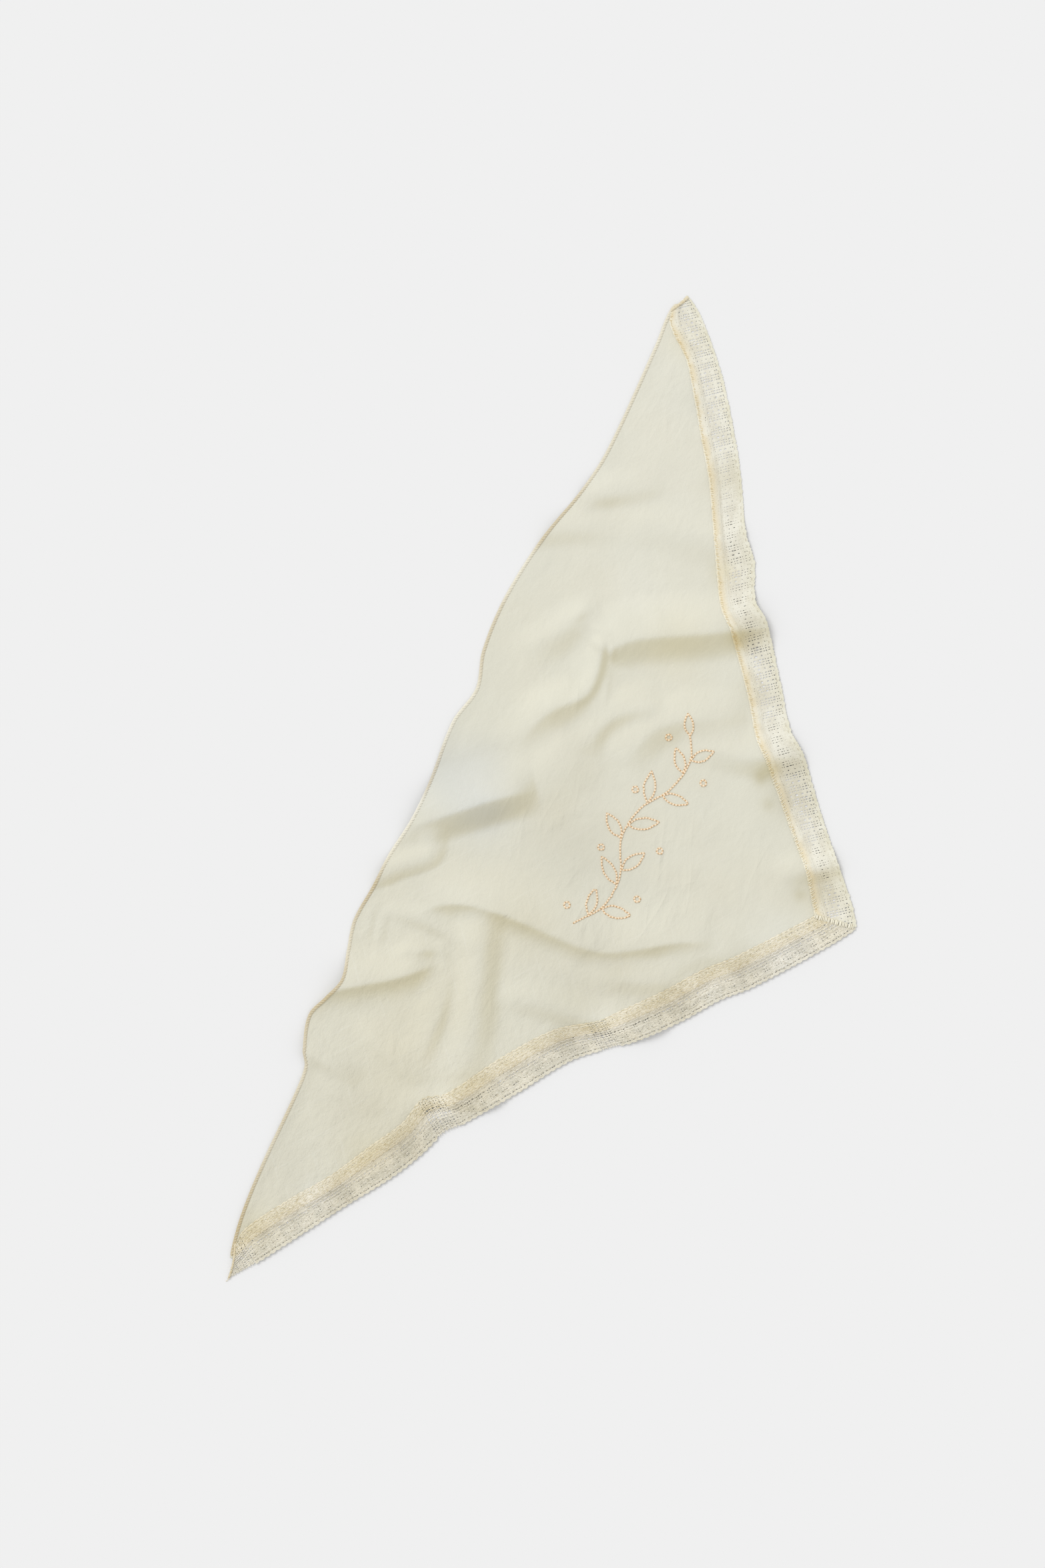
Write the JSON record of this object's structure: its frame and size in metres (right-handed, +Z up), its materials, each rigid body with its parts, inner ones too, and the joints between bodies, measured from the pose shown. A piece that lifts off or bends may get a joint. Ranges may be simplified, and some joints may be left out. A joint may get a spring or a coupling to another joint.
{
  "type": "lace bandana",
  "caption": "Triangular cotton neckerchief lying open in soft folds, with a narrow rolled hem on its long edge and scalloped lace along the short sides.",
  "frame": {"origin": "middle of the kerchief's footprint, on the surface it lies on", "axes": "+X along the long hemmed edge, from its left tip to its right tip; +Y from the lace-trimmed point to the long edge; +Z up, out of the surface it lies on"},
  "size_m": [0.814, 0.3444, 0.0154],
  "materials": {
    "cotton_cloth": "soft matt cream cotton voile",
    "cotton_lace": "matt ecru cotton lace",
    "stitching": "soft peach cotton thread"
  },
  "bodies": {
    "root": {"cloth": "cotton_cloth", "lace_left": "cotton_lace", "lace_right": "cotton_lace"}
  },
  "joints": []
}
